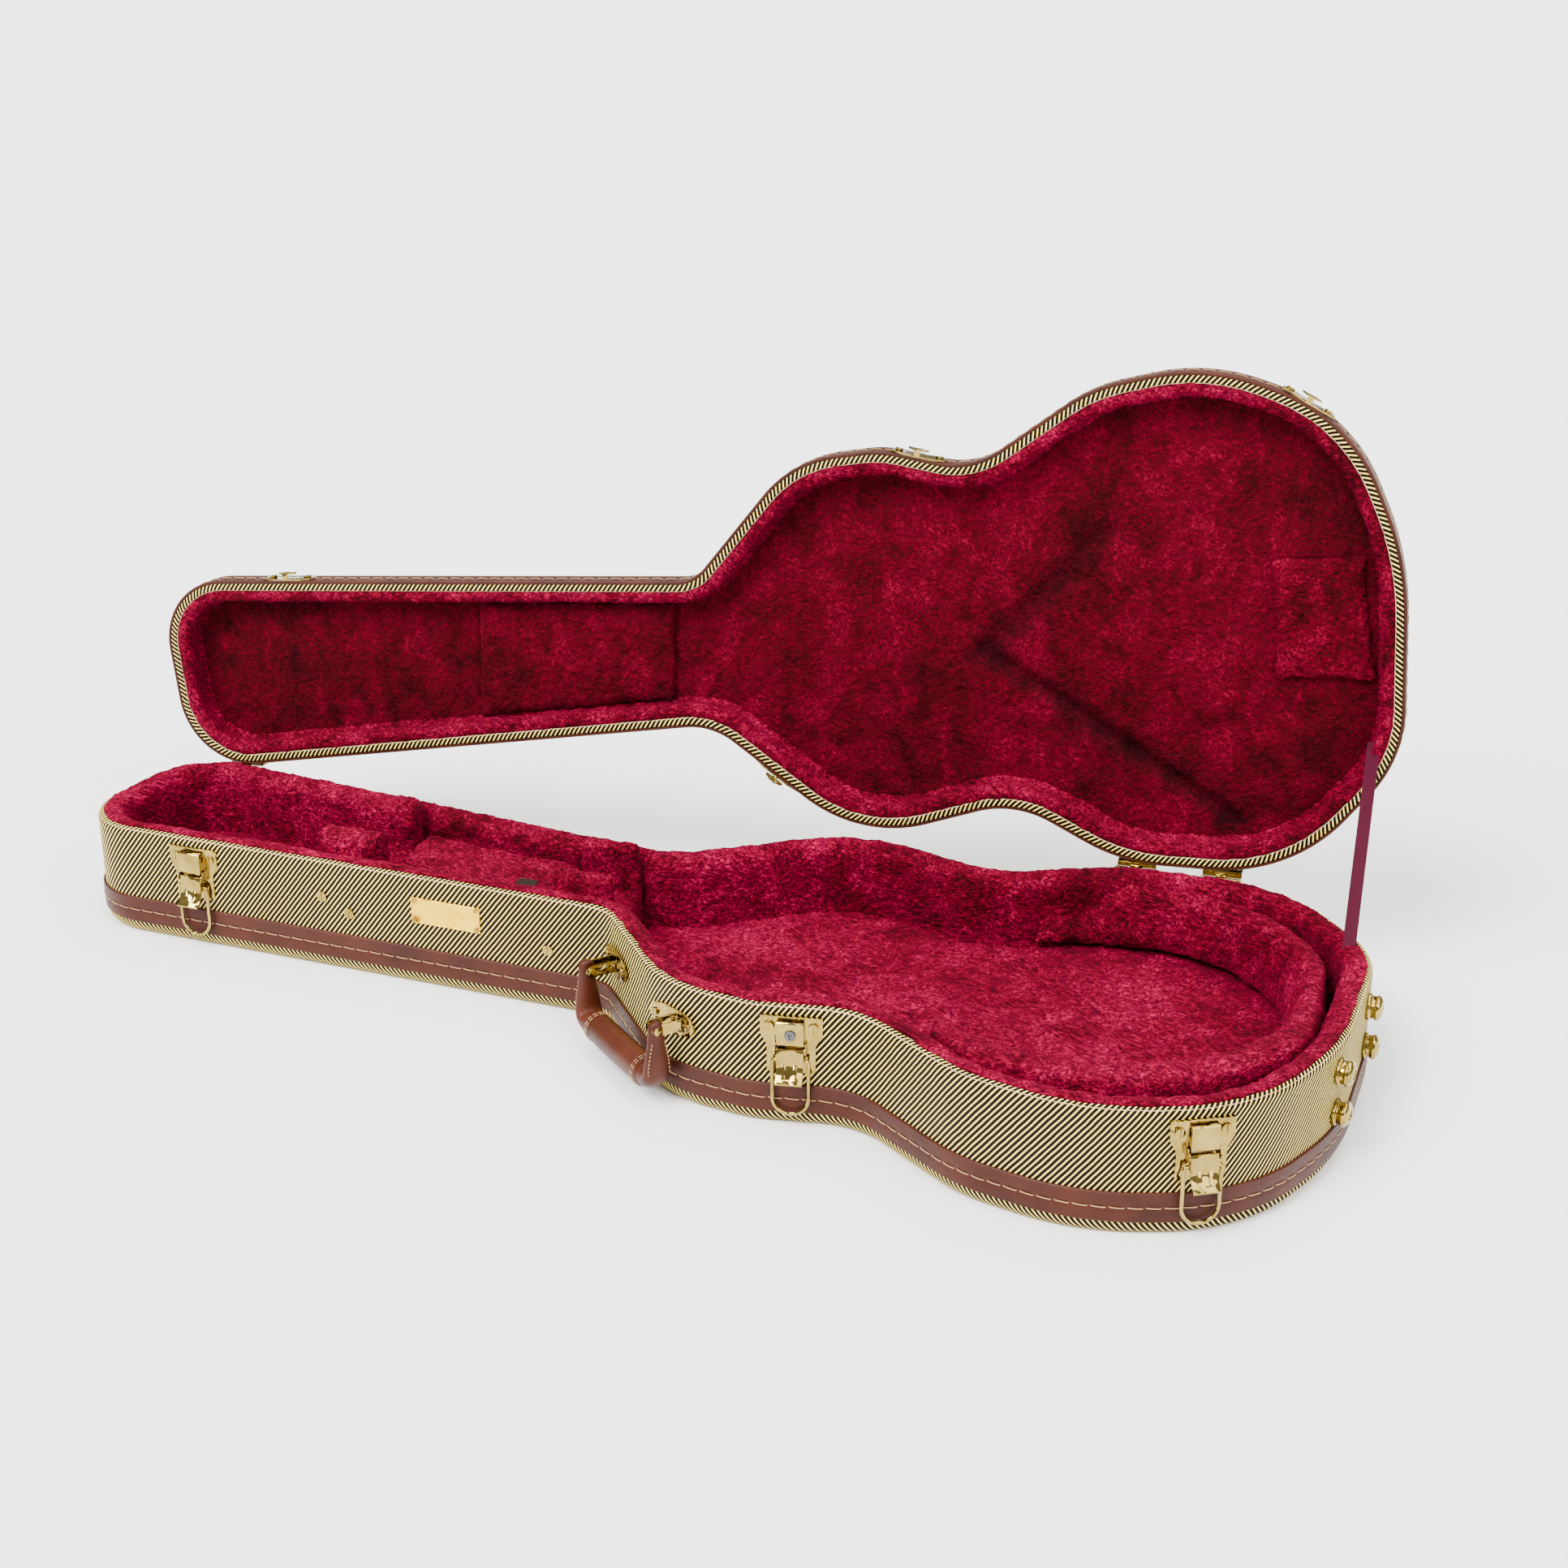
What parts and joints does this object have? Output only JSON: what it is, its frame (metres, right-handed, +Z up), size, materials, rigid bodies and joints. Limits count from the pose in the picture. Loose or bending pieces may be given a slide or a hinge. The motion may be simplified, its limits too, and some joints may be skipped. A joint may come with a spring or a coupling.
{
  "type": "guitar case",
  "caption": "Hard-shell guitar case with a hinged lid held open by a ribbon, drawbolt latches, a swinging handle and a plush lining with neck rests and an accessory compartment.",
  "frame": {"origin": "on the flat underside of the base, inside the outline at the upper bout, straight below the joint of neck and body", "axes": "+X from the neck end to the body end, +Y from the handle side to the hinge side, +Z up out of the open base"},
  "size_m": [1.1009, 0.4828, 0.499],
  "materials": {
    "plywood": "raw, hidden under the covering",
    "tweed": "woven diagonal stripe, lacquered",
    "leatherette": "satin embossed leatherette",
    "handle_leather": "smooth satin leather",
    "plush": "long-pile plush over foam",
    "ribbon": "woven ribbon",
    "dark_ribbon": "woven ribbon",
    "brass": "bright plated",
    "lock_steel": "polished"
  },
  "bodies": {
    "base": {"base_side_wall": "plywood", "base_side_cloth": "tweed", "base_bottom_panel": "plywood", "base_bottom_cloth": "tweed", "base_trim_band": "leatherette", "base_wall_lining": "plush", "base_floor_pads": "plush", "base_bout_pad": "plush", "neck_rest_head": "plush", "neck_rest_body": "plush", "accessory_box": "plush", "nameplate": "brass", "nameplate_screws": "brass", "base_screws": "brass", "tail_feet": "brass", "tail_feet_screws": "brass", "handle_bracket_neck": "brass", "handle_bracket_body": "brass", "handle_pins": "brass", "latch1_plate": "brass", "latch2_plate": "brass", "latch3_plate": "brass", "latch4_plate": "brass", "latch_pins": "brass", "hinge1_base_leaf": "brass", "hinge2_base_leaf": "brass", "hinge3_base_leaf": "brass", "hinge_pins": "brass", "hinge_base_screws": "brass", "lid_stay_strap": "ribbon"},
    "lid": {"hinge1_lid_leaf": "brass", "hinge2_lid_leaf": "brass", "hinge3_lid_leaf": "brass", "lid_side_wall": "plywood", "lid_rim_cloth": "tweed", "lid_top_panel": "plywood", "lid_top_cloth": "tweed", "lid_trim_band": "leatherette", "lid_wall_lining": "plush", "lid_panel_lining": "plush", "lid_neck_pad": "plush", "lid_pocket": "plush", "strike1": "brass", "strike2": "brass", "strike3": "brass", "strike4": "brass", "lid_screws": "brass"},
    "handle": {"handle_grip": "handle_leather", "handle_tabs": "handle_leather"},
    "lock": {"lock_plug": "lock_steel"},
    "accessory_cover": {"accessory_lid": "plush", "accessory_pull_tab": "dark_ribbon"},
    "lever1": {"latch1_lever": "brass"},
    "bail1": {"latch1_bail": "brass"},
    "lever2": {"latch2_lever": "brass"},
    "bail2": {"latch2_bail": "brass"},
    "lever3": {"latch3_lever": "brass"},
    "bail3": {"latch3_bail": "brass"},
    "lever4": {"latch4_lever": "brass"},
    "bail4": {"latch4_bail": "brass"}
  },
  "joints": [
    {"name": "lid_hinge", "type": "hinge", "parent": "base", "child": "lid", "pos_m": [0, 0.2046, 0.092], "axis": [-1, 0, 0], "range_deg": [-94.3, 0], "deforming": ["lid_stay_strap"]},
    {"name": "latch1_lever_pivot", "type": "hinge", "parent": "base", "child": "lever1", "pos_m": [-0.42524, 0.02362, 0.0655], "axis": [0.9965, -0.0837, 0], "range_deg": [-100, 0]},
    {"name": "latch1_bail_pivot", "type": "hinge", "parent": "lever1", "child": "bail1", "pos_m": [-0.42517, 0.02452, 0.0571], "axis": [-0.9965, 0.0837, 0], "range_deg": [0, 180]},
    {"name": "latch2_lever_pivot", "type": "hinge", "parent": "base", "child": "lever2", "pos_m": [0.14599, -0.12634, 0.0655], "axis": [0.9905, 0.1374, 0], "range_deg": [-100, 0]},
    {"name": "latch2_bail_pivot", "type": "hinge", "parent": "lever2", "child": "bail2", "pos_m": [0.14587, -0.12545, 0.0571], "axis": [-0.9905, -0.1374, 0], "range_deg": [0, 180]},
    {"name": "latch3_lever_pivot", "type": "hinge", "parent": "base", "child": "lever3", "pos_m": [0.45202, -0.18835, 0.0655], "axis": [0.8854, 0.4648, 0], "range_deg": [-100, 0]},
    {"name": "latch3_bail_pivot", "type": "hinge", "parent": "lever3", "child": "bail3", "pos_m": [0.4516, -0.18756, 0.0571], "axis": [-0.8854, -0.4648, 0], "range_deg": [0, 180]},
    {"name": "latch4_lever_pivot", "type": "hinge", "parent": "base", "child": "lever4", "pos_m": [0.03103, 0.16283, 0.0655], "axis": [-0.8358, -0.549, 0], "range_deg": [-100, 0]},
    {"name": "latch4_bail_pivot", "type": "hinge", "parent": "lever4", "child": "bail4", "pos_m": [0.03152, 0.16208, 0.0571], "axis": [0.8358, 0.549, 0], "range_deg": [0, 180]},
    {"name": "lock_turn", "type": "hinge", "parent": "base", "child": "lock", "pos_m": [0.14592, -0.12584, 0.078], "axis": [0.1374, -0.9905, 0], "range_deg": [0, 90]},
    {"name": "handle_pivot", "type": "hinge", "parent": "base", "child": "handle", "pos_m": [0.00025, -0.0856, 0.067], "axis": [-0.7235, 0.6904, 0], "range_deg": [0, 165]},
    {"name": "accessory_lid_hinge", "type": "hinge", "parent": "base", "child": "accessory_cover", "pos_m": [-0.1825, 0.1242, 0.0765], "axis": [-0.9828, 0.1848, 0], "range_deg": [0, 80]}
  ]
}
